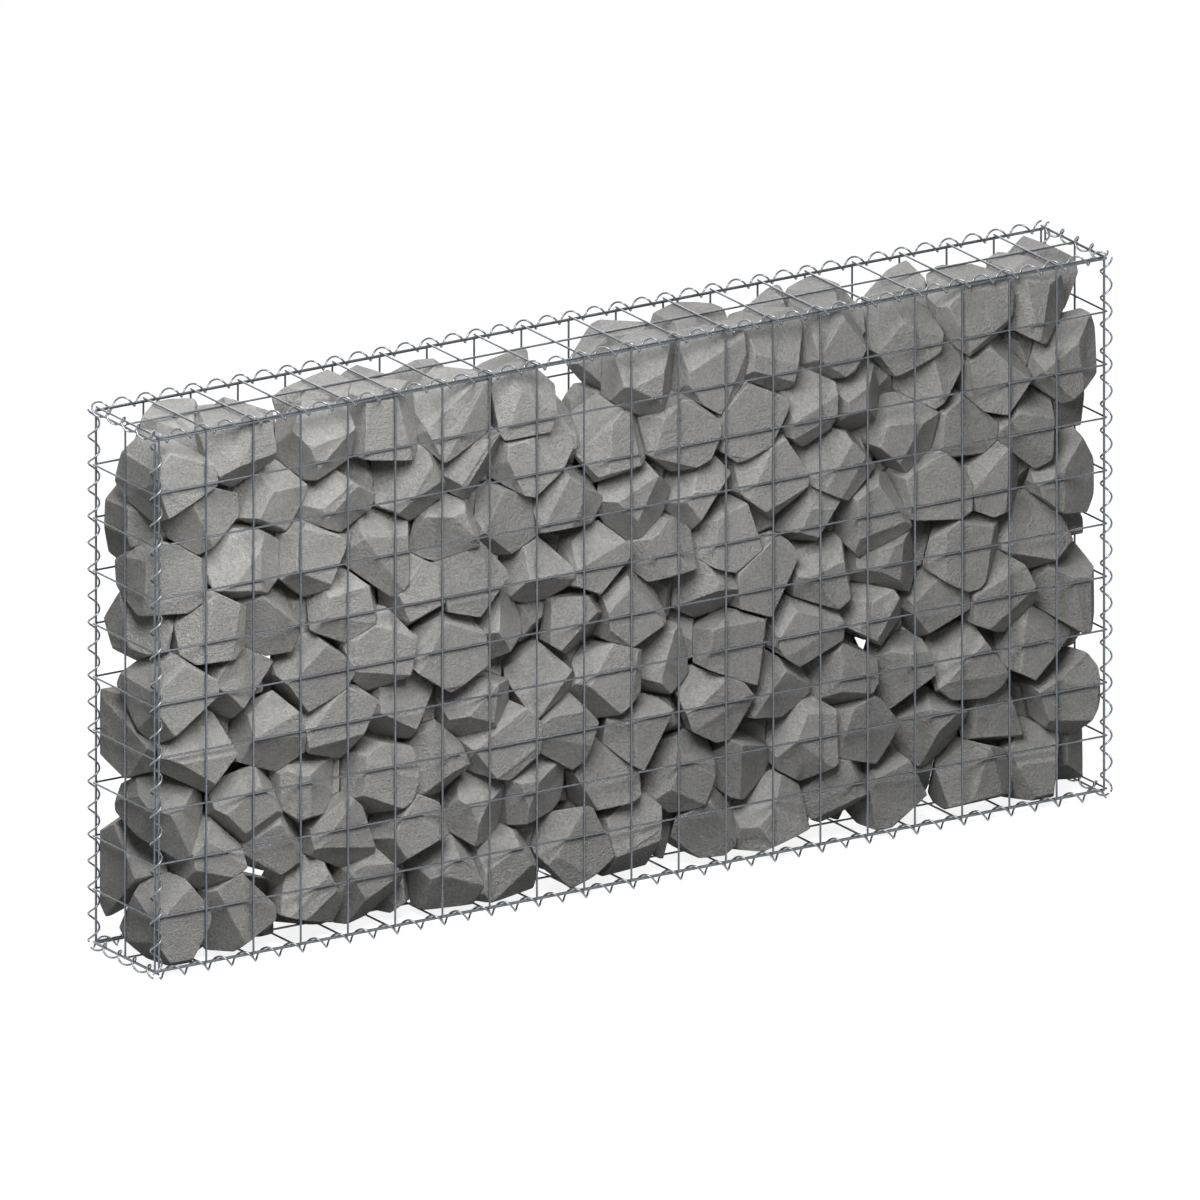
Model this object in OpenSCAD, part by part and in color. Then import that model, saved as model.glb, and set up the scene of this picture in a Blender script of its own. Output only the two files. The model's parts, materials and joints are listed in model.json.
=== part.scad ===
// Gabion wall: a basket of six welded mesh panels, laced along its edges by
// wire spirals and filled with broken quarry stone.
// Millimetres. The origin is on the ground under the middle of the wall.
// +X runs along the wall, +Z is up, and the front looks along -Y.

/* [Basket] */
// Mesh cells along the wall
cells_long = 20; // [6:1:30]
// Mesh cells through the wall
cells_deep = 2; // [2:1:5]
// Mesh cells up the wall
cells_high = 10; // [4:1:12]
// Pitch of the mesh, wire to wire
mesh_pitch = 100; // [75:5:125]
// Diameter of the mesh wire
wire_d = 4; // [3:0.5:6]
// Depth that crossing wires sink into each other at a weld
weld_bite = 0.6; // [0.4:0.1:1]
// Wire past the last weld of a panel, beyond half a wire
wire_tail = 0.5; // [0:0.5:2]
// Wire past the last weld at the ends of the cross wires of lid and base
cross_tail = 6; // [4:0.5:7]

/* [Spirals] */
// Diameter of the spiral wire
spiral_d = 3.75; // [2.5:0.25:4]
// Radius of the coil at the middle of its wire
spiral_r = 10; // [9:0.5:14]
// Length of one turn of a spiral
spiral_pitch = 50; // [40:5:60]

/* [Stones] */
// Usual size of a stone
stone_size = 138; // [110:1:160]
// Usual spacing of the stones along the wall
stone_long = 140; // [120:1:180]
// Usual spacing of the courses
stone_high = 108; // [90:1:140]
// Usual spacing of the layers through the wall
stone_deep = 72; // [60:1:110]
// Room left over the top course
stone_head = 6; // [0:1:60]
// Largest stray of a stone from its even place, as a share of the spacing
stone_stray = 0.18; // [0:0.02:0.24]
// Share by which the largest and smallest stones differ from the usual size
stone_range = 0.14; // [0:0.02:0.2]
// Broken faces of a stone before it meets its neighbours
stone_faces = 8; // [7:1:14]
// Nearest broken face to the middle of a stone, as a share of half its size
face_near = 0.75; // [0.6:0.05:0.85]
// Farthest broken face from the middle of a stone, as a share of half its size
face_far = 1.15; // [1:0.05:1.2]
// Start of every chance value
stone_seed = 25; // [1:1:99]
// Middle of the dip in the top course, along the wall from its middle
dip_at = -60; // [-400:10:400]
// Width of the dip in the top course
dip_wide = 120; // [0:10:300]

/* [Fits] */
// Play between pieces that bear on each other
seat_gap = 0.3; // [0.2:0.05:0.5]

/* [Hidden] */
wire_sides = 8;
coil_sides = 7;
half_long = cells_long * mesh_pitch / 2;
half_deep = cells_deep * mesh_pitch / 2;
tall = cells_high * mesh_pitch;

// Wire layers, outward from the plane of the outer mesh lines
wire_corner = wire_d / 2 / cos(180 / wire_sides);
lap = wire_d - weld_bite;
tail = wire_d / 2 + wire_tail;
inner_layer = (wire_d + seat_gap) / sqrt(2);
outer_layer = inner_layer + lap;
end_inner = tail + wire_d / 2 + seat_gap;
end_outer = end_inner + lap;

// Edge wires seen along each edge, as steps outward from the two panels
long_pair = [[inner_layer, 0], [0, inner_layer]];
cross_pair = [[0, outer_layer], [end_outer, 0]];
upright_pair = [[0, outer_layer], [end_inner, 0]];

// Coil that takes in both edge wires
coil_flat = cos(180 / coil_sides);
function span(pair) = norm(pair[0] - pair[1]);
widest = max(span(long_pair), span(cross_pair), span(upright_pair));
hold_least = widest / 2 + seat_gap;
coil_r = max(spiral_r, (hold_least + wire_corner + seat_gap) / coil_flat + spiral_d / 2);
hold = (coil_r - spiral_d / 2) * coil_flat - wire_corner - seat_gap;
coil_out = coil_r + spiral_d / 2;
function seat(pair) =
  let (mid = (pair[0] + pair[1]) / 2,
       across = pair[1] - pair[0],
       out = [abs(across[1]), abs(across[0])] / norm(across))
  mid + out * sqrt(hold * hold - norm(across) * norm(across) / 4);
long_axis = seat(long_pair);
cross_axis = seat(cross_pair);
upright_axis = seat(upright_pair);
coil_lead = atan(spiral_pitch / (2 * PI * coil_r));
coil_half = spiral_d / 2 / cos(coil_lead);
deepest_axis = min(concat(long_axis, cross_axis, upright_axis));
corner_clear = coil_out - deepest_axis + coil_half + seat_gap;

// Height of the lowest mesh line above the ground
base = max(long_axis[1], cross_axis[1]) + coil_out * coil_flat;

// Room for the stones inside the panels and the coils
room_long = half_long + end_inner - wire_d / 2 - seat_gap;
room_side = inner_layer - wire_d / 2 - seat_gap;
function chamfer(axis, steps) =
  let (cut = (axis[0] + axis[1]) - (coil_out + seat_gap) * sqrt(2))
  max(0, steps[0] + steps[1] - cut);

// Rows of stones along the wall, each against an end panel at one end and set back at the other
function count(room, spacing) = max(1, 1 + round((room - stone_size) / spacing));
count_deep = count(2 * half_deep, stone_deep);
count_high = count(tall - stone_head, stone_high);
first_deep = stone_size / 2 - half_deep;
first_high = stone_size / 2;
step_deep = (2 * half_deep - stone_size) / max(1, count_deep - 1);
step_high = (tall - stone_head - stone_size) / max(1, count_high - 1);
row_reach = room_long - stone_size / 2 * (1 - stone_range);
row_play = 0.2;
function luck(tag, j, k, n) = rands(0, 1, n, stone_seed * 10000 + (k * 100 + tag) * 10 + j);
function row_ends(j, k) =
  let (back = stone_long / 2 * (1 + row_play * (2 * luck(-1, j, k, 1)[0] - 1)))
  (j + k) % 2 == 0 ? [-row_reach, row_reach - back] : [back - row_reach, row_reach];

// The rows of the top course stop on either side of the dip
function runs(j, k) =
  let (ends = row_ends(j, k), clear = (dip_wide + stone_size) / 2)
  k < count_high - 1 ? [ends] : [[ends[0], dip_at - clear], [dip_at + clear, ends[1]]];
function spots(run) =
  let (gaps = round((run[1] - run[0]) / stone_long))
  [for (m = [0:1:gaps]) run[0] + (run[1] - run[0]) * m / max(1, gaps)];
rows = [for (k = [0:count_high - 1]) [for (j = [0:count_deep - 1]) [for (r = runs(j, k)) each spots(r)]]];

// Middle of each stone, strayed from its even place except where it is held by an end panel.
// Stones are told apart by their count from the nearer end, so that a longer wall keeps its ends.
stones = [for (k = [0:count_high - 1], j = [0:count_deep - 1], i = [0:len(rows[k][j]) - 1]) [i, j, k]];
function chances(s, n) =
  let (last = len(rows[s[2]][s[1]]) - 1)
  luck(s[0] <= last / 2 ? 2 * s[0] : 2 * (last - s[0]) + 1, s[1], s[2], n);
function place(s) =
  let (row = rows[s[2]][s[1]],
       held = s[0] == 0 || s[0] == len(row) - 1,
       stray = [for (c = chances(s, 3)) stone_stray * (2 * c - 1)])
  [row[s[0]] + (held ? 0 : stone_long * stray[0]),
   first_deep + step_deep * (s[1] + stray[1]),
   first_high + step_high * (s[2] + stray[2])];
places = [for (s = stones) place(s)];

// Steps from a stone to the stones that it can meet, none farther off than a share of the usual size
near_share = 1.6;
function near(at) = [for (p = places) let (t = p - at) if (norm(t) > 0 && norm(t) < near_share * stone_size) t];

// Broken faces, spread evenly over a ball and then turned and moved by chance
golden = 180 * (3 - sqrt(5));
function ball(m) =
  let (h = 1 - 2 * (m + 0.5) / stone_faces)
  [sqrt(1 - h * h) * cos(golden * m), sqrt(1 - h * h) * sin(golden * m), h];
function spin(p, a) =
  let (q = [p[0] * cos(a[0]) - p[1] * sin(a[0]), p[0] * sin(a[0]) + p[1] * cos(a[0]), p[2]],
       t = [q[0], q[1] * cos(a[1]) - q[2] * sin(a[1]), q[1] * sin(a[1]) + q[2] * cos(a[1])])
  [t[0] * cos(a[2]) - t[1] * sin(a[2]), t[0] * sin(a[2]) + t[1] * cos(a[2]), t[2]];

course_names = [for (k = [1:count_high]) str("stone_course_", k)];
panel_names = ["front_panel", "back_panel", "left_panel", "right_panel", "base_panel", "lid_panel"];
// Each spiral: name, run along, outward steps a and b with a the level one, and pair axis
spirals = [
  ["spiral_front_base", [1, 0, 0], [0, -1, 0], [0, 0, -1], long_axis],
  ["spiral_front_lid", [1, 0, 0], [0, -1, 0], [0, 0, 1], long_axis],
  ["spiral_back_base", [1, 0, 0], [0, 1, 0], [0, 0, -1], long_axis],
  ["spiral_back_lid", [1, 0, 0], [0, 1, 0], [0, 0, 1], long_axis],
  ["spiral_left_base", [0, 1, 0], [-1, 0, 0], [0, 0, -1], cross_axis],
  ["spiral_left_lid", [0, 1, 0], [-1, 0, 0], [0, 0, 1], cross_axis],
  ["spiral_right_base", [0, 1, 0], [1, 0, 0], [0, 0, -1], cross_axis],
  ["spiral_right_lid", [0, 1, 0], [1, 0, 0], [0, 0, 1], cross_axis],
  ["spiral_front_left", [0, 0, 1], [-1, 0, 0], [0, -1, 0], upright_axis],
  ["spiral_front_right", [0, 0, 1], [1, 0, 0], [0, -1, 0], upright_axis],
  ["spiral_back_left", [0, 0, 1], [-1, 0, 0], [0, 1, 0], upright_axis],
  ["spiral_back_right", [0, 0, 1], [1, 0, 0], [0, 1, 0], upright_axis]
];
spiral_names = [for (s = spirals) s[0]];

zinc = [0.62, 0.65, 0.68];
bright_zinc = [0.74, 0.76, 0.79];
stone_grey = [0.55, 0.55, 0.53];

// One wire along +Z, with a flat to each side
module wire(from, to) {
  translate([0, 0, from])
    rotate([0, 0, 180 / wire_sides])
      cylinder(h = to - from, r = wire_corner, $fn = wire_sides);
}

module wire_along_x(half) {
  rotate([0, 90, 0]) wire(-half, half);
}

module wire_along_y(half) {
  rotate([-90, 0, 0]) wire(-half, half);
}

// Front or back: long wires inside, uprights welded on outside
module side_panel(way) {
  color(zinc) translate([0, 0, base]) {
    for (k = [0:cells_high])
      translate([0, way * (half_deep + inner_layer), k * mesh_pitch])
        wire_along_x(half_long + tail);
    for (i = [0:cells_long])
      translate([i * mesh_pitch - half_long, way * (half_deep + outer_layer), 0])
        wire(-tail, tall + tail);
  }
}

// Left or right end: uprights inside, level wires welded on outside
module end_panel(way) {
  color(zinc) translate([0, 0, base]) {
    for (j = [0:cells_deep])
      translate([way * (half_long + end_inner), j * mesh_pitch - half_deep, 0])
        wire(-tail, tall + tail);
    for (k = [0:cells_high])
      translate([way * (half_long + end_outer), 0, k * mesh_pitch])
        wire_along_y(half_deep + tail);
  }
}

// Base or lid: long wires inside, cross wires welded on outside
module level_panel(way, height) {
  color(zinc) translate([0, 0, base + height]) {
    for (j = [0:cells_deep])
      translate([0, j * mesh_pitch - half_deep, way * inner_layer])
        wire_along_x(half_long + tail);
    for (i = [0:cells_long])
      translate([i * mesh_pitch - half_long, 0, way * outer_layer])
        wire_along_y(half_deep + cross_tail);
  }
}

module front_panel() { side_panel(-1); }
module back_panel() { side_panel(1); }
module left_panel() { end_panel(-1); }
module right_panel() { end_panel(1); }
module base_panel() { level_panel(-1, 0); }
module lid_panel() { level_panel(1, tall); }

// Spiral along one edge. It turns right-handed, and at each mesh line it reaches straight out of the corner.
module spiral(s) {
  run = s[1];
  level = s[2];
  other = s[3];
  box = [half_long, half_deep, tall / 2];
  edge = 2 * abs(run * box);
  axis = [for (c = [0:2]) (level[c] + other[c] - run[c]) * box[c]] + s[4][0] * level + s[4][1] * other;
  across = cross(run, other);
  straight_out = across * level > 0 ? 45 : -45;
  turn = 360 / coil_sides;
  function ring_at(along) = (along / spiral_pitch * 360 + straight_out) / turn - 0.5;
  first_ring = ceil(ring_at(corner_clear));
  rings = floor(ring_at(edge - corner_clear)) - first_ring;
  corners = [[-1, -1], [1, -1], [1, 1], [-1, 1]];
  sides = len(corners);
  points = [
    for (n = [first_ring:first_ring + rings])
      let (angle = (n + 0.5) * turn,
           out = cos(angle) * other + sin(angle) * across,
           along = (angle - straight_out) / 360 * spiral_pitch)
      for (c = corners)
        axis + (coil_r + c[0] * spiral_d / 2) * out + (along + c[1] * coil_half) * run
  ];
  skin = [
    for (n = [0:rings - 1], q = [0:sides - 1])
      let (a = n * sides + q, b = n * sides + (q + 1) % sides)
      for (face = [[a, b, b + sides], [a, b + sides, a + sides]]) face
  ];
  tips = [[for (q = [1:sides]) sides - q], [for (q = [0:sides - 1]) rings * sides + q]];
  color(bright_zinc) translate([0, 0, base + tall / 2])
    polyhedron(points, concat(skin, tips));
}

// Everything near a stone that lies behind a plane facing along n, at a distance d from its middle
module behind(n, d) {
  reach = 2 * stone_size;
  rotate([0, acos(n[2] / norm(n)), atan2(n[1], n[0])])
    translate([-reach, -reach, d - 2 * reach])
      cube(2 * reach);
}

// Rectangle of half sizes w and h with its corners cut off by c
module cut_rect(w, h, c) {
  polygon([[-w + c, -h], [w - c, -h], [w, -h + c], [w, h - c],
           [w - c, h], [-w + c, h], [-w, h - c], [-w, -h + c]]);
}

// Room for the fill, clear of the panels and of the coils in its edges
module room() {
  wide = half_deep + room_side;
  high = tall / 2 + room_side;
  steps = [room_side, room_side];
  end_steps = [room_long - half_long, room_side];
  translate([0, 0, tall / 2]) intersection() {
    rotate([90, 0, 90]) translate([0, 0, -room_long])
      linear_extrude(2 * room_long)
        cut_rect(wide, high, chamfer(long_axis, steps));
    rotate([90, 0, 0]) translate([0, 0, -wide])
      linear_extrude(2 * wide)
        cut_rect(room_long, high, chamfer(cross_axis, end_steps));
    translate([0, 0, -high])
      linear_extrude(2 * high)
        cut_rect(room_long, wide, chamfer(upright_axis, end_steps));
  }
}

// One stone: a broken block that bears on its neighbours along flat faces
module stone(n) {
  at = places[n];
  chance = chances(stones[n], 7 + stone_faces);
  angles = [for (c = [3:5]) 360 * chance[c]];
  half_size = stone_size / 2 * (1 + stone_range * (2 * chance[6] - 1));
  intersection() {
    translate(at) intersection() {
      intersection_for(m = [0:stone_faces - 1])
        behind(spin(ball(m), angles), half_size * (face_near + (face_far - face_near) * chance[7 + m]));
      intersection_for(t = near(at))
        behind(t, norm(t) / 2 - seat_gap / 2);
    }
    room();
  }
}

module stone_course(k) {
  color(stone_grey) translate([0, 0, base])
    for (n = [0:len(stones) - 1])
      if (stones[n][2] == k) stone(n);
}

front_panel();
back_panel();
left_panel();
right_panel();
base_panel();
lid_panel();
for (s = spirals) spiral(s);
for (k = [0:count_high - 1]) stone_course(k);
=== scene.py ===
# %% [markdown]
# A gabion wall is a long, thin basket of welded wire mesh. Wire spirals lace its six panels together
# along the edges, and broken quarry stone fills it. The imported model already has every panel, spiral
# and stone at its true place and size, in metres, so this lesson only gives them their looks: broken
# stone faces with soft edges, round wires with small welds, smooth spirals, and the finishes of stone
# and zinc. The first cell empties the scene, loads the imported model and keeps its box, which the last
# cell prints.

# %% Load the imported model
import json
import math
import random
from collections import namedtuple

import bpy
from mathutils import Matrix, Vector

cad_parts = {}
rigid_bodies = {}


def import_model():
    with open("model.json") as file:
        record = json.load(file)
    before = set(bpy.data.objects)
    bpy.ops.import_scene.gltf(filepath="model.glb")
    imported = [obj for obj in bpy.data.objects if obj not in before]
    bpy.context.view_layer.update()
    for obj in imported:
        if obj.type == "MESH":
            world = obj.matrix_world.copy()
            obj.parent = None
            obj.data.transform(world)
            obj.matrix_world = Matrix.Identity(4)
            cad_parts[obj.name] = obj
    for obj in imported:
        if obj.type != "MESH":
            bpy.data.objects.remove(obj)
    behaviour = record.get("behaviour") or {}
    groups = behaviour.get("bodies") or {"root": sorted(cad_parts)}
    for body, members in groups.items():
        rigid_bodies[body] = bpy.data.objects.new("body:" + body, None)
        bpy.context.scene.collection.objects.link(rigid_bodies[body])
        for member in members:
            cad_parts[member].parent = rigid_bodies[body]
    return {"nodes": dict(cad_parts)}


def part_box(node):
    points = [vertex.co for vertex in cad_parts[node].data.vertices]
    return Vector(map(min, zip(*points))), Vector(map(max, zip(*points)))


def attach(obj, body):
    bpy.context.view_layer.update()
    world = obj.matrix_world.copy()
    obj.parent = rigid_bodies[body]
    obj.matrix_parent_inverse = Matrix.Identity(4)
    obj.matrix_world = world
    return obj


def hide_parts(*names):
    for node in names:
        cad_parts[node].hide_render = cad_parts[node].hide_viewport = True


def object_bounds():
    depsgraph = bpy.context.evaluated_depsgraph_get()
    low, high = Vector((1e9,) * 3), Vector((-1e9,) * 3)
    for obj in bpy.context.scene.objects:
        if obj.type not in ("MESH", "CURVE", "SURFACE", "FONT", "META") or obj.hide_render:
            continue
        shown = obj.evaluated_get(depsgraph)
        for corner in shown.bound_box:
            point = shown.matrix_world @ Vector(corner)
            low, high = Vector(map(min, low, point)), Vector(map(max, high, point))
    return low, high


bpy.ops.object.select_all(action="SELECT")
bpy.ops.object.delete()
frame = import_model()
cad_box = [list(corner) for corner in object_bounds()]
print("nodes:", len(frame["nodes"]), "box:", cad_box)

# %% [markdown]
# The picture to match has no vanishing points, since all the edges along the wall stay parallel. So the
# camera is orthographic. It looks from the front left, 32 degrees round and 18 degrees above level, at
# the middle of the wall. With this kind of camera the scale is the width of the view in metres, and how
# far away it stands makes no difference.

# %% Camera
view_turn = math.radians(-32.0)
view_rise = math.radians(17.9)
view_wide = 2.154
camera_distance = 6.0

scene = bpy.context.scene
low, high = (Vector(corner) for corner in cad_box)
middle = (low + high) / 2
away = Vector((math.sin(view_turn) * math.cos(view_rise),
               -math.cos(view_turn) * math.cos(view_rise),
               math.sin(view_rise)))
view_angles = away.to_track_quat("Z", "Y").to_euler()
bpy.ops.object.camera_add(location=middle + camera_distance * away, rotation=view_angles)
camera = bpy.context.object
camera.name = "camera"
camera.data.type = "ORTHO"
camera.data.ortho_scale = view_wide
scene.camera = camera
print("camera at", [round(c, 3) for c in camera.location])

# %% [markdown]
# Every finish below is built from nodes. Short helpers keep that readable. One adds a node and sets its
# sockets by name, and one joins two sockets. Three more add the nodes that come up again and again: a
# sum or product, a change of range, and a blend of two colours. The last one starts a material and hands
# back its tree, its shader and its Object coordinates, which stay fixed to the piece wherever it goes.

# %% Node helpers
def put(tree, kind, sockets=None, **settings):
    node = tree.nodes.new(kind)
    for key, value in settings.items():
        setattr(node, key, value)
    for key, value in (sockets or {}).items():
        node.inputs[key].default_value = value
    return node


def join(tree, start, end):
    tree.links.new(start, end)


def calculate(tree, operation, *values):
    node = put(tree, "ShaderNodeMath", operation=operation)
    for socket, value in zip(node.inputs, values):
        if isinstance(value, float):
            socket.default_value = value
        else:
            join(tree, value, socket)
    return node.outputs[0]


def change_range(tree, value, start, end, to_start=0.0, to_end=1.0):
    ends = {"From Min": start, "From Max": end, "To Min": to_start, "To Max": to_end}
    node = put(tree, "ShaderNodeMapRange", ends)
    join(tree, value, node.inputs["Value"])
    return node.outputs["Result"]


def blend(tree, dark, light, tone):
    node = put(tree, "ShaderNodeMix", data_type="RGBA")
    node.inputs["A"].default_value = (*dark, 1)
    node.inputs["B"].default_value = (*light, 1)
    join(tree, tone, node.inputs["Factor"])
    return node.outputs["Result"]


def new_finish(name):
    finish = bpy.data.materials.new(name)
    finish.use_nodes = True
    tree = finish.node_tree
    shader = tree.nodes["Principled BSDF"]
    place = put(tree, "ShaderNodeTexCoord").outputs["Object"]
    return finish, tree, shader, place


print("node helpers ready")

# %% [markdown]
# Stone and zinc have one thing in common: neither is one even grey. Broad patches and fine specks lie
# over each other. What several finishes need is best made once, as a node group with named sockets, and
# then placed in each finish with its own values. This group adds two noises of different size and
# spreads the sum from 0 to 1. Each finish turns that tone into its own colours and gloss.

# %% Patches and specks, shared by all finishes
FLOAT = "NodeSocketFloat"
VECTOR = "NodeSocketVector"


def new_group(name, inputs, output):
    group = bpy.data.node_groups.new(name, "ShaderNodeTree")
    for label, kind, value in inputs:
        socket = group.interface.new_socket(label, in_out="INPUT", socket_type=kind)
        if value is not None:
            socket.default_value = value
    group.interface.new_socket(output, in_out="OUTPUT", socket_type=FLOAT)
    return group, put(group, "NodeGroupInput"), put(group, "NodeGroupOutput")


def sized_noise(group, inside, size, detail, roughness):
    noise = put(group, "ShaderNodeTexNoise", {"Detail": detail, "Roughness": roughness})
    join(group, inside.outputs["Place"], noise.inputs["Vector"])
    join(group, inside.outputs[size], noise.inputs["Scale"])
    return noise.outputs["Fac"]


sockets = [("Place", VECTOR, None), ("Size", FLOAT, 20.0), ("Speck Size", FLOAT, 160.0)]
patches, inside, outside = new_group("patches", sockets, "Tone")
both = put(patches, "ShaderNodeMix", {"Factor": 0.6}, data_type="FLOAT")
join(patches, sized_noise(patches, inside, "Size", detail=4.0, roughness=0.6), both.inputs["A"])
join(patches, sized_noise(patches, inside, "Speck Size", detail=3.0, roughness=0.65), both.inputs["B"])
join(patches, change_range(patches, both.outputs["Result"], 0.37, 0.63), outside.inputs["Tone"])
print("group:", patches.name)

# %% [markdown]
# A broken face is rough at several sizes at once, with fine grit over small humps. This group puts that
# out as a height for a Bump node. Zinc uses it too, at a much smaller size, for the skin of the dip bath.

# %% Rough skin, shared by all finishes
sockets = [("Place", VECTOR, None), ("Hump Size", FLOAT, 60.0), ("Grit Size", FLOAT, 420.0)]
skin, inside, outside = new_group("rough_skin", sockets, "Height")
humps = sized_noise(skin, inside, "Hump Size", detail=6.0, roughness=0.62)
grit = sized_noise(skin, inside, "Grit Size", detail=4.0, roughness=0.7)
small_grit = calculate(skin, "MULTIPLY", grit, 0.6)
join(skin, calculate(skin, "ADD", humps, small_grit), outside.inputs["Height"])
print("group:", skin.name)

# %% [markdown]
# The stone is a plain grey quarry stone, a little warm. It splits along beds, which show as faint
# streaks on the broken faces, and every stone lies with its beds another way. The mesh of each stone
# will carry the direction across its beds as an attribute. Stretching the coordinates in that direction
# squeezes the pattern there, and that turns a plain noise into streaks along the beds.

# %% Quarry stone: beds
bed_stretch = 1.6

quarry_stone, tree, shader, place = new_finish("quarry_stone_finish")
beds = put(tree, "ShaderNodeAttribute", attribute_name="beds").outputs["Vector"]
across_beds = put(tree, "ShaderNodeVectorMath", operation="DOT_PRODUCT")
join(tree, place, across_beds.inputs[0])
join(tree, beds, across_beds.inputs[1])
stretch = put(tree, "ShaderNodeVectorMath", operation="SCALE")
join(tree, beds, stretch.inputs[0])
stretched = calculate(tree, "MULTIPLY", across_beds.outputs["Value"], bed_stretch)
join(tree, stretched, stretch.inputs["Scale"])
bedded = put(tree, "ShaderNodeVectorMath", operation="ADD")
join(tree, place, bedded.inputs[0])
join(tree, stretch.outputs["Vector"], bedded.inputs[1])
streaks = put(tree, "ShaderNodeTexNoise", {"Scale": 48.0, "Detail": 5.0, "Roughness": 0.65})
join(tree, bedded.outputs["Vector"], streaks.inputs["Vector"])
print("beds of", quarry_stone.name)

# %% [markdown]
# The colour comes in layers. Patches between two greys lie lowest, and the streaks are laid over them
# faintly. Then the whole is made lighter or darker by the stone's own tone, which its mesh carries as an
# attribute, and by the height of the rough skin, as painted shade in the pits and painted light on the
# humps.

# %% Quarry stone: greys
dark_grey = (0.44, 0.435, 0.423)
light_grey = (0.56, 0.552, 0.537)


def group_node(tree, group, place, **sockets):
    node = put(tree, "ShaderNodeGroup", node_tree=group)
    join(tree, place, node.inputs["Place"])
    for key, value in sockets.items():
        node.inputs[key.replace("_", " ")].default_value = value
    return node.outputs[0]


clouds = group_node(tree, patches, place, Size=14.0, Speck_Size=240.0)
grain = group_node(tree, skin, place, Hump_Size=150.0, Grit_Size=300.0)
lines = change_range(tree, streaks.outputs["Fac"], 0.35, 0.65, 0.2, 0.8)
streaked = put(tree, "ShaderNodeMix", {"Factor": 0.12}, data_type="RGBA", blend_type="OVERLAY")
join(tree, blend(tree, dark_grey, light_grey, clouds), streaked.inputs["A"])
join(tree, lines, streaked.inputs["B"])
own_tone = put(tree, "ShaderNodeAttribute", attribute_name="tone").outputs["Fac"]
# painted shade in the pits of the rough skin, painted light on its humps
painted_pit_shade = change_range(tree, grain, 0.62, 0.98, 0.82, 1.12)
tone_and_pit_shade = put(tree, "ShaderNodeHueSaturation")
join(tree, streaked.outputs["Result"], tone_and_pit_shade.inputs["Color"])
join(tree, calculate(tree, "MULTIPLY", own_tone, painted_pit_shade), tone_and_pit_shade.inputs["Value"])
print("greys of", quarry_stone.name)

# %% [markdown]
# A paler rim is painted along the edges, in patches: it is a painted highlight. A third attribute of the
# mesh says how near a point is to an edge. The gloss changes with the patches too. The grain and a share
# of the streaks go into a Bump node, which bends the light as if the face were rough, with no more points.

# %% Quarry stone: painted rim highlight and skin
# colour of the painted highlight on the rims
painted_highlight_grey = (0.66, 0.651, 0.633, 1)
streak_share = 0.45


def roughen(tree, shader, height, strength, distance):
    bump = put(tree, "ShaderNodeBump", {"Strength": strength, "Distance": distance})
    join(tree, height, bump.inputs["Height"])
    join(tree, bump.outputs["Normal"], shader.inputs["Normal"])


near_edge = put(tree, "ShaderNodeAttribute", attribute_name="rim").outputs["Fac"]
# painted highlight: a paler rim along the edges, in patches
painted_rim_highlight = change_range(tree, near_edge, 0.7, 1.0, 0.0, 0.35)
rim_highlight_mix = put(tree, "ShaderNodeMix", data_type="RGBA")
rim_highlight_mix.inputs["B"].default_value = painted_highlight_grey
join(tree, tone_and_pit_shade.outputs["Color"], rim_highlight_mix.inputs["A"])
join(tree, calculate(tree, "MULTIPLY", painted_rim_highlight, clouds), rim_highlight_mix.inputs["Factor"])
join(tree, rim_highlight_mix.outputs["Result"], shader.inputs["Base Color"])
join(tree, change_range(tree, clouds, 0.0, 1.0, 0.95, 0.78), shader.inputs["Roughness"])
shader.inputs["Specular IOR Level"].default_value = 0.3
height = calculate(tree, "MULTIPLY_ADD", streaks.outputs["Fac"], streak_share, grain)
roughen(tree, shader, height, strength=1.0, distance=0.0042)
print("finish:", quarry_stone.name)

# %% [markdown]
# Mesh and spirals are steel with a coat of zinc. The bath leaves crystals, the spangle, and air dulls
# the coat in patches. A Voronoi texture gives the crystals, and the shared patches dull them. The mesh
# is greyer and duller, and the spirals are drawn from brighter wire, so one function makes both finishes
# with their own values.

# %% Zinc
def zinc(name, dull, bright, matt, shiny):
    finish, tree, shader, place = new_finish(name)
    crystals = put(tree, "ShaderNodeTexVoronoi", {"Scale": 330.0})
    join(tree, place, crystals.inputs["Vector"])
    facet = put(tree, "ShaderNodeSeparateColor")
    join(tree, crystals.outputs["Color"], facet.inputs["Color"])
    air = group_node(tree, patches, place, Size=9.0, Speck_Size=210.0)
    spangle = put(tree, "ShaderNodeMix", {"Factor": 0.6}, data_type="FLOAT")
    join(tree, facet.outputs["Red"], spangle.inputs["A"])
    join(tree, air, spangle.inputs["B"])
    tone = spangle.outputs["Result"]
    join(tree, blend(tree, dull, bright, tone), shader.inputs["Base Color"])
    join(tree, change_range(tree, tone, 0.0, 1.0, matt, shiny), shader.inputs["Roughness"])
    shader.inputs["Metallic"].default_value = 0.85
    bath_skin = group_node(tree, skin, place, Hump_Size=380.0, Grit_Size=1900.0)
    roughen(tree, shader, bath_skin, strength=0.35, distance=0.0004)
    return finish


mesh_zinc = zinc("mesh_zinc_finish", dull=(0.11, 0.126, 0.142), bright=(0.19, 0.207, 0.224),
                 matt=0.36, shiny=0.22)
spiral_zinc = zinc("spiral_zinc_finish", dull=(0.165, 0.177, 0.19), bright=(0.29, 0.302, 0.315),
                   matt=0.3, shiny=0.16)
print("finishes:", mesh_zinc.name, spiral_zinc.name)

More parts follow.
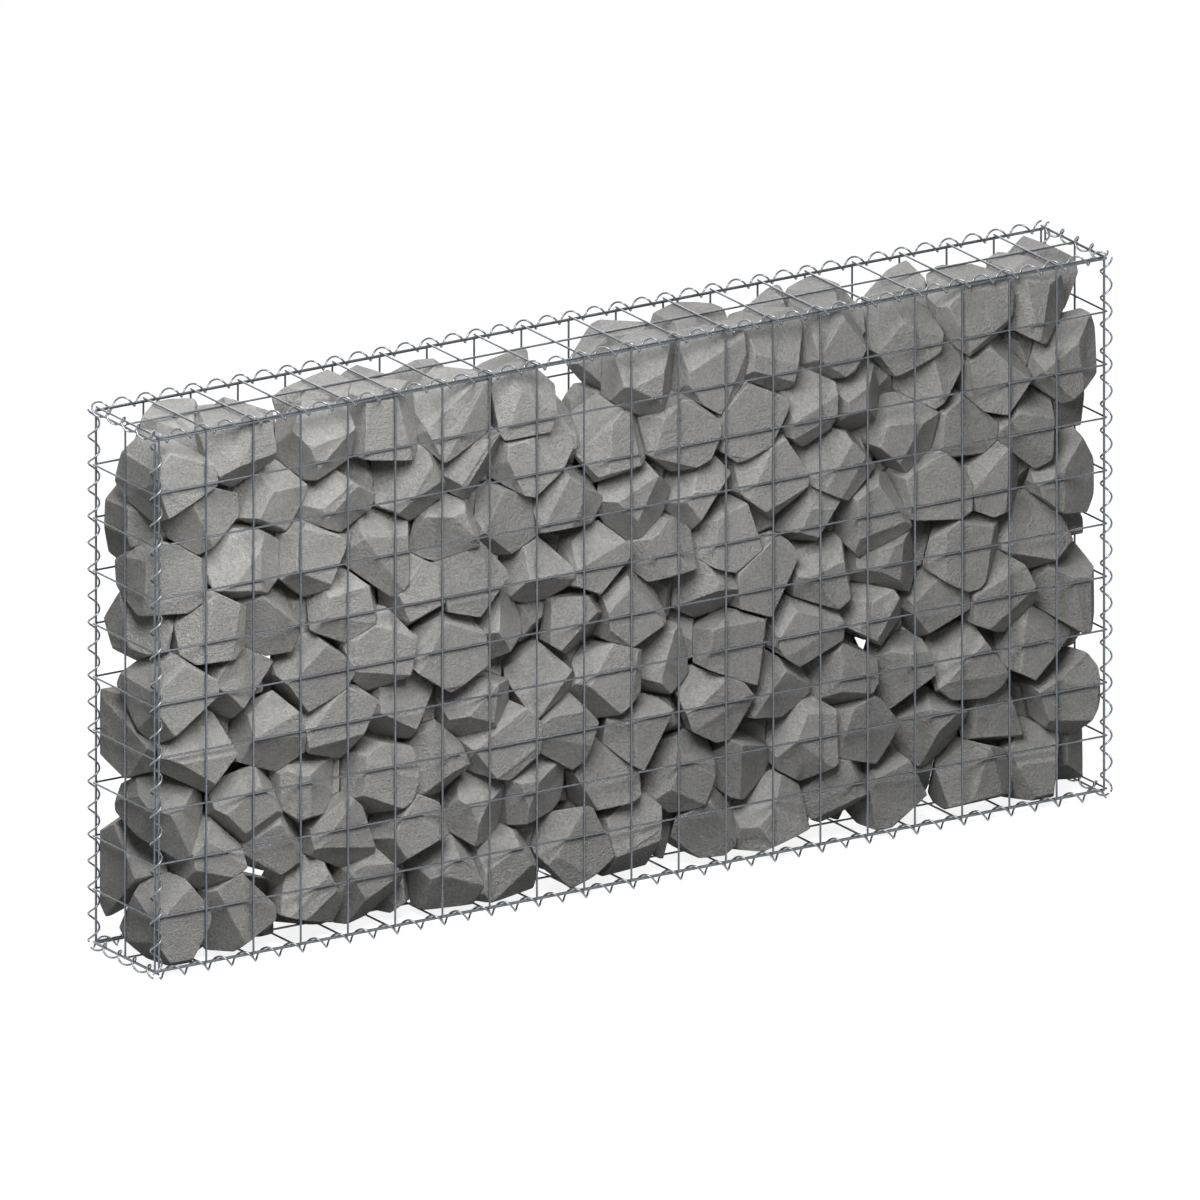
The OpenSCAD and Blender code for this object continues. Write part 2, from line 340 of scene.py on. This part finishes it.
# %% [markdown]
# The pieces come next, and all of them need a few steps over and over. An operator acts on what is
# selected, so one helper selects some pieces and nothing else. Others go into edit mode and out again,
# with everything selected, with what was marked before, or with certain edges only. The last one puts a
# piece's place and turn into its mesh, so that the object itself stays at the origin.

# %% Selecting and editing
EDGES = (False, True, False)
POINTS = (True, False, False)


def only(*pieces):
    bpy.ops.object.select_all(action="DESELECT")
    for piece in pieces:
        piece.select_set(True)
    bpy.context.view_layer.objects.active = pieces[0]


def edit_marked(*steps):
    bpy.ops.object.mode_set(mode="EDIT")
    for step in steps:
        step()
    bpy.ops.object.mode_set(mode="OBJECT")


def edit_all(*steps):
    edit_marked(lambda: bpy.ops.mesh.select_all(action="SELECT"), *steps)


def unmark(*parts):
    for part in parts:
        part.foreach_set("select", [False] * len(part))


def edit_edges(mesh, wanted, step):
    unmark(mesh.vertices, mesh.polygons)
    for edge in mesh.edges:
        edge.select = wanted(edge)
    bpy.context.tool_settings.mesh_select_mode = EDGES
    edit_marked(step)
    bpy.context.tool_settings.mesh_select_mode = POINTS


def settle(piece):
    only(piece)
    bpy.ops.object.transform_apply(location=True, rotation=True, scale=True)


print("editing helpers ready")

# %% [markdown]
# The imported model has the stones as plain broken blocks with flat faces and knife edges. A real block
# has soft, chipped edges and faces that are never quite flat. Sculpting each of the 250 by hand is one
# way, and a voxel remesh is another, but it would weld blocks that touch. Here each course is copied
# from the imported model, its triangles are merged back into whole faces, and it is taken apart into its
# stones. Then corners closer than about a centimetre are merged on each stone alone, so that no face is
# a sliver.

# %% Take a course apart into stones
same_point = 0.00002
flat_angle = math.radians(0.5)
least_edge = 0.012


def copy_of(node, name):
    mesh = frame["nodes"][node].data.copy()
    mesh.materials.clear()
    piece = bpy.data.objects.new(name, mesh)
    bpy.context.collection.objects.link(piece)
    only(piece)
    return piece


def clean_blocks(node, name):
    piece = copy_of(node, name)
    bpy.ops.mesh.customdata_custom_splitnormals_clear()
    edit_all(lambda: bpy.ops.mesh.remove_doubles(threshold=same_point),
             lambda: bpy.ops.mesh.dissolve_limited(angle_limit=flat_angle))
    bpy.ops.mesh.separate(type="LOOSE")
    edit_all(lambda: bpy.ops.mesh.remove_doubles(threshold=least_edge),
             lambda: bpy.ops.mesh.dissolve_degenerate())
    bpy.ops.object.join()
    return piece


courses = sorted(n for n in frame["nodes"] if n.startswith("stone_course_"))
print("courses:", len(courses))

# %% [markdown]
# Each whole face now gets a narrow rim by an inset, and a fan of triangles from its middle by a poke.
# After that, all edges but the short ones across the rim are cut into equal lengths. The close pair of
# lines along every edge keeps the rounding that follows tight, and the even triangles inside give the
# later bends something to move. The corners of the old blocks are known by their places, which tells the
# three kinds of point apart.

# %% Rims and fans on the faces
CORNER, RIM, FACE = range(3)
rim_wide = 0.0013
face_cuts = 4


def spots(piece):
    return [tuple(round(c, 6) for c in v.co) for v in piece.data.vertices]


def rims_and_fans(piece):
    corners = set(spots(piece))
    edit_all(lambda: bpy.ops.mesh.inset(thickness=rim_wide, use_individual=True))
    rims = set(spots(piece)) - corners
    edit_marked(lambda: bpy.ops.mesh.poke())
    return [CORNER if s in corners else RIM if s in rims else FACE for s in spots(piece)]


def cut_edges(piece, kinds):
    edit_edges(piece.data, lambda edge: {kinds[v] for v in edge.vertices} != {CORNER, RIM},
               lambda: bpy.ops.mesh.subdivide(number_cuts=face_cuts))


print("rim:", rim_wide, "cuts:", face_cuts)

# %% [markdown]
# Before the cuts, every point is given the three attributes that the stone finish reads. Stones are
# found as islands: starting from one point, all points that edges lead to belong to the same stone. A
# seeded chance gives each its tone and the direction across its beds, so every run makes the same wall.
# A vertex group with weights goes with them. It is full in the middle of a face and nearly nothing on
# its rim, and will keep the bends off the edges, where they would fold the narrow rims over. The cuts
# blend the weights in between.

# %% Tone, beds, rim and weights of each stone
darkest, lightest = 0.86, 1.12
rim_mark = {CORNER: 1.0, RIM: 0.8, FACE: 0.0}
bend_weight = {CORNER: 0.05, RIM: 0.12, FACE: 1.0}


def islands(mesh):
    linked = [[] for _ in mesh.vertices]
    for edge in mesh.edges:
        a, b = edge.vertices
        linked[a].append(b)
        linked[b].append(a)
    found = [-1] * len(linked)
    count = 0
    for start in range(len(linked)):
        if found[start] < 0:
            found[start] = count
            queue = [start]
            while queue:
                for other in linked[queue.pop()]:
                    if found[other] < 0:
                        found[other] = count
                        queue.append(other)
            count += 1
    return found, count


def any_way(chance):
    return Vector((chance.gauss(0, 1), chance.gauss(0, 1), chance.gauss(0, 1))).normalized()


def mark(mesh, name, kind, field, values):
    mesh.attributes.new(name, kind, "POINT").data.foreach_set(field, values)


def mark_stones(piece, kinds, chance):
    found, count = islands(piece.data)
    tones = [chance.uniform(darkest, lightest) for _ in range(count)]
    ways = [any_way(chance) for _ in range(count)]
    mark(piece.data, "tone", "FLOAT", "value", [tones[n] for n in found])
    mark(piece.data, "beds", "FLOAT_VECTOR", "vector", [c for n in found for c in ways[n]])
    mark(piece.data, "rim", "FLOAT", "value", [rim_mark[kind] for kind in kinds])
    faces = piece.vertex_groups.new(name="faces")
    for kind, weight in bend_weight.items():
        faces.add([n for n, own in enumerate(kinds) if own == kind], weight, "REPLACE")
    return count


print("tones from", darkest, "to", lightest)

# %% [markdown]
# Two Displace modifiers with cloud textures bend the faces by their weights, one broad and one small.
# Most of the movement goes inwards, so that the stones keep out of the wires and nearly out of each
# other. The rounding comes last. It is a Smooth modifier, which mostly moves points that lie off the
# plane of their neighbours: the edges.

# %% Bends and soft edges
def cloud_texture(name, size):
    texture = bpy.data.textures.new(name, "CLOUDS")
    texture.noise_scale = size
    texture.noise_depth = 2
    return texture


def bend(piece, texture, strength, level):
    change = piece.modifiers.new(texture.name, "DISPLACE")
    change.texture = texture
    change.texture_coords = "LOCAL"
    change.strength = strength
    change.mid_level = level
    change.vertex_group = "faces"
    bpy.ops.object.modifier_apply(modifier=change.name)


def soften(piece, factor, times):
    change = piece.modifiers.new("soften", "SMOOTH")
    change.factor = factor
    change.iterations = times
    bpy.ops.object.modifier_apply(modifier=change.name)


broad_bends = cloud_texture("broad_bends", 0.055)
small_bends = cloud_texture("small_bends", 0.02)
print("textures:", broad_bends.name, small_bends.name)

# %% [markdown]
# Now all nine courses are made in the same way. A course is laid in layers on a real wall, and here it
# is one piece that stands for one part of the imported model. Each piece is given its finish, is tied to
# the body of the wall, and takes the place of that part.

# %% Make the courses of stones
def triangles(piece):
    return sum(len(p.vertices) - 2 for p in piece.data.polygons)


def stand_for(piece, finish, *nodes):
    piece.data.materials.append(finish)
    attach(piece, "root")
    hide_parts(*nodes)


chance = random.Random(11)
for n, node in enumerate(courses):
    course = clean_blocks(node, "stones_%d" % (n + 1))
    kinds = rims_and_fans(course)
    count = mark_stones(course, kinds, chance)
    cut_edges(course, kinds)
    bend(course, broad_bends, strength=0.005, level=0.72)
    bend(course, small_bends, strength=0.002, level=0.62)
    soften(course, factor=0.5, times=1)
    course.vertex_groups.clear()
    bpy.ops.object.shade_smooth()
    stand_for(course, quarry_stone, node)
    print(course.name, "stones:", count, "triangles:", triangles(course))

# %% [markdown]
# A mesh panel is a grid of straight 4 mm wires. On the front and back the uprights are welded on outside
# the level wires, on base and lid the cross wires are outside, and on the ends the level ones are. The
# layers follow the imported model, in which a wire sinks 0.6 mm into the next at each weld. All values are
# in metres, and the layers are measured from the mesh lines to the middle of the wire.

# %% Values of the basket
pitch = 0.1
half_long = 1.0
half_deep = 0.1
tall = 1.0
lines_long = round(2 * half_long / pitch) + 1
lines_deep = round(2 * half_deep / pitch) + 1
lines_up = round(tall / pitch) + 1
wire_d = 0.004
lap = 0.0034
tail = 0.0025
cross_tail = 0.006
inner_layer = 0.003041
outer_layer = inner_layer + lap
end_inner = 0.0048
end_outer = end_inner + lap
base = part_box("front_panel")[0].z + tail
mid_z = base + tall / 2
print("mesh lines:", lines_long, lines_deep, lines_up, "lowest at", round(base, 5))

# %% [markdown]
# A wire could be a curve with a round section, but its cut ends would stay sharp. So it starts as a
# 12-sided cylinder, and the rims of its two ends are bevelled, as the shears leave them. An Array
# modifier then repeats it at the pitch of the mesh, which is quicker than placing each wire.

# %% One wire, and a row of wires
X, Y, Z = range(3)
AXES = (Vector((1, 0, 0)), Vector((0, 1, 0)), Vector((0, 0, 1)))
wire_sides = 12
end_bevel = 0.0005
close = 0.0001


def turn_to(direction):
    return direction.to_track_quat("Z", "Y").to_euler()


def new_piece(name):
    piece = bpy.context.object
    piece.name = name
    settle(piece)
    return piece


def wire(name, along, length, start):
    bpy.ops.mesh.primitive_cylinder_add(vertices=wire_sides, radius=wire_d / 2, depth=length,
                                        rotation=turn_to(AXES[along]), location=start)
    piece = new_piece(name)
    far = length / 2 - close
    at_end = [abs((v.co - start)[along]) > far for v in piece.data.vertices]
    edit_edges(piece.data, lambda edge: all(at_end[v] for v in edge.vertices),
               lambda: bpy.ops.mesh.bevel(offset=end_bevel, segments=2))
    bpy.ops.object.shade_smooth_by_angle(angle=math.radians(40))
    return piece


def repeat(piece, step, count):
    only(piece)
    row = piece.modifiers.new("row", "ARRAY")
    row.use_relative_offset = False
    row.use_constant_offset = True
    row.constant_offset_displace = step
    row.count = count
    bpy.ops.object.modifier_apply(modifier=row.name)


print("wire of", wire_sides, "sides")

# %% [markdown]
# Where two wires cross, current has fused them, and a little metal is squeezed out as a flat collar. It
# starts as a small sphere of eight sides. It is flattened to a lens between the two wires, and its rim
# is widened and thinned. There are hundreds of these, so each has only a few dozen faces.

# %% One weld
weld_r = 0.0028
weld_rim_r = 0.0024
weld_flat = 0.5
rim_wider = 1.12
rim_thinner = 0.7


def weld(name, out, place):
    bpy.ops.mesh.primitive_uv_sphere_add(segments=8, ring_count=5, radius=weld_r, location=(0, 0, 0))
    piece = new_piece(name)
    edit_all(lambda: bpy.ops.transform.resize(value=(1.0, 1.0, weld_flat)))
    unmark(piece.data.edges, piece.data.polygons)
    for v in piece.data.vertices:
        v.select = math.hypot(v.co.x, v.co.y) > weld_rim_r
    edit_marked(lambda: bpy.ops.transform.resize(value=(rim_wider, rim_wider, rim_thinner)))
    piece.rotation_euler = turn_to(AXES[out])
    piece.location = place
    settle(piece)
    bpy.ops.object.shade_smooth()
    return piece


print("weld radius:", weld_r)

# %% [markdown]
# Every panel is two rows of wires and a grid of welds, joined into one piece. A row is given by the axis
# that its wires run along, half their length and its middle, the place of the first wire, the axis along
# which the wires follow each other, their count, and the depth of the row along the axis that faces out.
# The sizes printed beside each panel compare its box with the box of the part that it stands for.

# %% Make the six panels
Row = namedtuple("Row", "along half mid first step count depth")


def row_of_wires(name, row, out):
    start = AXES[row.along] * row.mid + AXES[row.step] * row.first + AXES[out] * row.depth
    piece = wire(name, row.along, 2 * row.half, start)
    repeat(piece, AXES[row.step] * pitch, row.count)
    return piece


def grid_of_welds(name, inner, outer, out):
    depth = (inner.depth + outer.depth) / 2
    spot = AXES[inner.step] * inner.first + AXES[outer.step] * outer.first + AXES[out] * depth
    piece = weld(name, out, spot)
    for row in (inner, outer):
        repeat(piece, AXES[row.step] * pitch, row.count)
    return piece


def panel(name, node, out, inner, outer):
    piece = row_of_wires(name + "_inner", inner, out)
    others = [row_of_wires(name + "_outer", outer, out), grid_of_welds(name + "_weld", inner, outer, out)]
    only(piece, *others)
    bpy.ops.object.join()
    piece.name = name
    stand_for(piece, mesh_zinc, node)
    lo = Vector([min(v.co[c] for v in piece.data.vertices) for c in range(3)])
    hi = Vector([max(v.co[c] for v in piece.data.vertices) for c in range(3)])
    off = max((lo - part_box(node)[0]).length, (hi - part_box(node)[1]).length)
    print(name, "triangles:", triangles(piece), "off by mm:", round(1000 * off, 3))


for name, way in (("front", -1), ("back", 1)):
    panel(name + "_mesh", name + "_panel", Y,
          Row(X, half_long + tail, 0, base, Z, lines_up, way * (half_deep + inner_layer)),
          Row(Z, tall / 2 + tail, mid_z, -half_long, X, lines_long, way * (half_deep + outer_layer)))
for name, way in (("left", -1), ("right", 1)):
    panel(name + "_mesh", name + "_panel", X,
          Row(Z, tall / 2 + tail, mid_z, -half_deep, Y, lines_deep, way * (half_long + end_inner)),
          Row(Y, half_deep + tail, 0, base, Z, lines_up, way * (half_long + end_outer)))
for name, way, level in (("base", -1, base), ("lid", 1, base + tall)):
    panel(name + "_mesh", name + "_panel", Z,
          Row(X, half_long + tail, 0, -half_deep, Y, lines_deep, level + way * inner_layer),
          Row(Y, half_deep + cross_tail, 0, -half_long, X, lines_long, level + way * outer_layer))

# %% [markdown]
# A lacing spiral is wire of nearly 4 mm, wound to a coil of 50 mm pitch that is screwed along an edge,
# round the edge wires of both panels. A curve along a helix would do, but a Screw modifier needs only
# the section, a small circle beside the axis, and winds it up in many equal steps. Cut along the axis,
# the section of a steep coil is an ellipse, so the circle is stretched along the axis first. Then the
# open ends are filled.

# %% One spiral
coil_pitch = 0.05
coil_wire = 0.00375
coil_r = 0.0101
coil_sides = 9
steps_per_turn = 20
slope = math.atan(coil_pitch / (2 * math.pi * coil_r))


def coil(name, turns):
    bpy.ops.mesh.primitive_circle_add(vertices=coil_sides, radius=coil_wire / 2,
                                      rotation=(math.pi / 2, 0, 0))
    piece = new_piece(name)
    edit_all(lambda: bpy.ops.transform.resize(value=(1, 1, 1 / math.cos(slope))),
             lambda: bpy.ops.transform.translate(value=(coil_r, 0, 0)))
    wind = piece.modifiers.new("wind", "SCREW")
    wind.axis = "Z"
    wind.angle = 2 * math.pi * turns
    wind.screw_offset = coil_pitch * turns
    wind.steps = round(steps_per_turn * turns)
    wind.render_steps = wind.steps
    bpy.ops.object.modifier_apply(modifier=wind.name)
    edit_all(lambda: bpy.ops.mesh.fill_holes(sides=0),
             lambda: bpy.ops.mesh.normals_make_consistent(inside=False))
    bpy.ops.object.shade_smooth_by_angle(angle=math.radians(50))
    return piece


print("slope of the coil:", round(math.degrees(slope), 1), "degrees")

# %% [markdown]
# There are twelve spirals. Each edge is given by the run of the spiral and by the two directions out of
# the basket, with the steps from the mesh line to the axis of the coil. At each mesh line the coil
# reaches straight out of the corner, and its cut ends stand a little past the last mesh lines. There the
# three spirals of a corner pass each other without touching. A matrix turns and moves each finished
# coil to its edge, and is then put into its mesh.

# %% Make the twelve spirals
sides = {"front": Vector((0, -1, 0)), "back": Vector((0, 1, 0))}
ends = {"left": Vector((-1, 0, 0)), "right": Vector((1, 0, 0))}
covers = {"base": Vector((0, 0, -1)), "lid": Vector((0, 0, 1))}
long_axis = (0.00511, 0.00511)
cross_axis = (0.005208, 0.004631)
upright_axis = (0.005429, 0.005478)
edges = [(a + "_" + b, X, sides[a], covers[b], long_axis) for a in sides for b in covers]
edges += [(a + "_" + b, Y, ends[a], covers[b], cross_axis) for a in ends for b in covers]
edges += [(a + "_" + b, Z, ends[b], sides[a], upright_axis) for a in sides for b in ends]

half_box = Vector((half_long, half_deep, tall / 2))
centre = Vector((0, 0, mid_z))
past = 0.002
half_corner = math.radians(45)
for name, run_axis, first, second, steps in edges:
    run = AXES[run_axis]
    across = run.cross(second)
    corner = centre + Vector([(first + second - run)[c] * half_box[c] for c in range(3)])
    corner += steps[0] * first + steps[1] * second
    straight_out = half_corner if across.dot(first) > 0 else -half_corner
    angle = straight_out - 2 * math.pi * past / coil_pitch
    edge_turn = Matrix((second, across, run)).transposed().to_4x4() @ Matrix.Rotation(angle, 4, "Z")
    turns = 2 * (half_box[run_axis] + past) / coil_pitch
    piece = coil("lacing_" + name, turns)
    piece.matrix_world = Matrix.Translation(corner - past * run) @ edge_turn
    settle(piece)
    stand_for(piece, spiral_zinc, "spiral_" + name)
    print(piece.name, "turns:", round(turns, 2), "triangles:", triangles(piece))

# %% [markdown]
# The stage is a plain floor under the wall. The picture has a white ground, so what the camera sees of
# floor and world is made white by the Light Path node, which leaves the light on the wall as it is.
# Glossy and transmitted rays see that white too. The floor keeps the soft shadow of the wall.

# %% Floor
floor_wide = 30.0


def seen_mask(tree):
    path = put(tree, "ShaderNodeLightPath").outputs
    seen = calculate(tree, "MAXIMUM", path["Is Camera Ray"], path["Is Glossy Ray"])
    return calculate(tree, "MAXIMUM", seen, path["Is Transmission Ray"])


bpy.context.view_layer.update()
floor_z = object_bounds()[0][2]
bpy.ops.mesh.primitive_plane_add(size=floor_wide, location=(0, 0, floor_z))
floor = bpy.context.object
floor.name = "floor"
floor_finish, tree, shader, place = new_finish("floor_finish")
shader.inputs["Base Color"].default_value = (0.1, 0.1, 0.1, 1)
shader.inputs["Roughness"].default_value = 0.9
shaded = put(tree, "ShaderNodeBsdfDiffuse", {"Color": (0.45, 0.45, 0.45, 1)})
lift = put(tree, "ShaderNodeEmission", {"Strength": 0.86})
white = put(tree, "ShaderNodeAddShader")
join(tree, shaded.outputs[0], white.inputs[0])
join(tree, lift.outputs[0], white.inputs[1])
pick = put(tree, "ShaderNodeMixShader")
join(tree, seen_mask(tree), pick.inputs[0])
join(tree, shader.outputs[0], pick.inputs[1])
join(tree, white.outputs[0], pick.inputs[2])
join(tree, pick.outputs[0], tree.nodes["Material Output"].inputs["Surface"])
floor.data.materials.append(floor_finish)
print("floor at", round(floor_z, 5))

# %% [markdown]
# The world is the air around the wall. It is white where it is seen, and gives the wall only a weak,
# even light, so that the gaps between the stones stay dark.

# %% World
world_light = 0.06

world = bpy.data.worlds.new("studio")
scene.world = world
world.use_nodes = True
tree = world.node_tree
background = tree.nodes["Background"]
background.inputs["Color"].default_value = (1, 1, 1, 1)
strength = change_range(tree, seen_mask(tree), 0.0, 1.0, world_light, 1.0)
join(tree, strength, background.inputs["Strength"])
print("world light:", world_light)

# %% [markdown]
# The light is a large round softbox, under four metres off and well above the camera. Upper faces are
# brightest, front faces are a step darker, the undersides fall into shade, and the far end of the wall
# is a little dimmer than the near one. The power of such a lamp follows from the light wanted at the
# wall, times pi, times the square of the distance. A small, weak softbox high on the right puts glints
# on the wires and hardly lights the stone. A soft, low sun from behind lights the back and the right
# end, for views from there.

# %% Lamps
def lamp(name, kind, direction, distance):
    toward = Vector(direction).normalized()
    bpy.ops.object.light_add(type=kind, rotation=turn_to(toward), location=middle + distance * toward)
    light = bpy.context.object
    light.name = name
    return light.data


def softbox(name, direction, distance, wide, light_at_wall):
    box = lamp(name, "AREA", direction, distance)
    box.shape = "DISK"
    box.size = wide
    box.energy = light_at_wall * math.pi * distance ** 2
    print(name, "watts:", round(box.energy, 1))


softbox("key", (-0.4, -0.55, 0.73), distance=3.7, wide=2.2, light_at_wall=3.15)
softbox("kicker", (0.5, -0.15, 0.85), distance=4.0, wide=0.5, light_at_wall=0.22)
rear = lamp("rear", "SUN", (0.4, 1.0, 0.3), distance=3.0)
rear.energy = 2.0
rear.angle = math.radians(60)
scene.view_settings.view_transform = "Standard"

# %% [markdown]
# Last, the box of the imported model is printed. The looks must not change the size.

# %% Box of the imported model
bpy.context.view_layer.update()
print("cad box", cad_box)
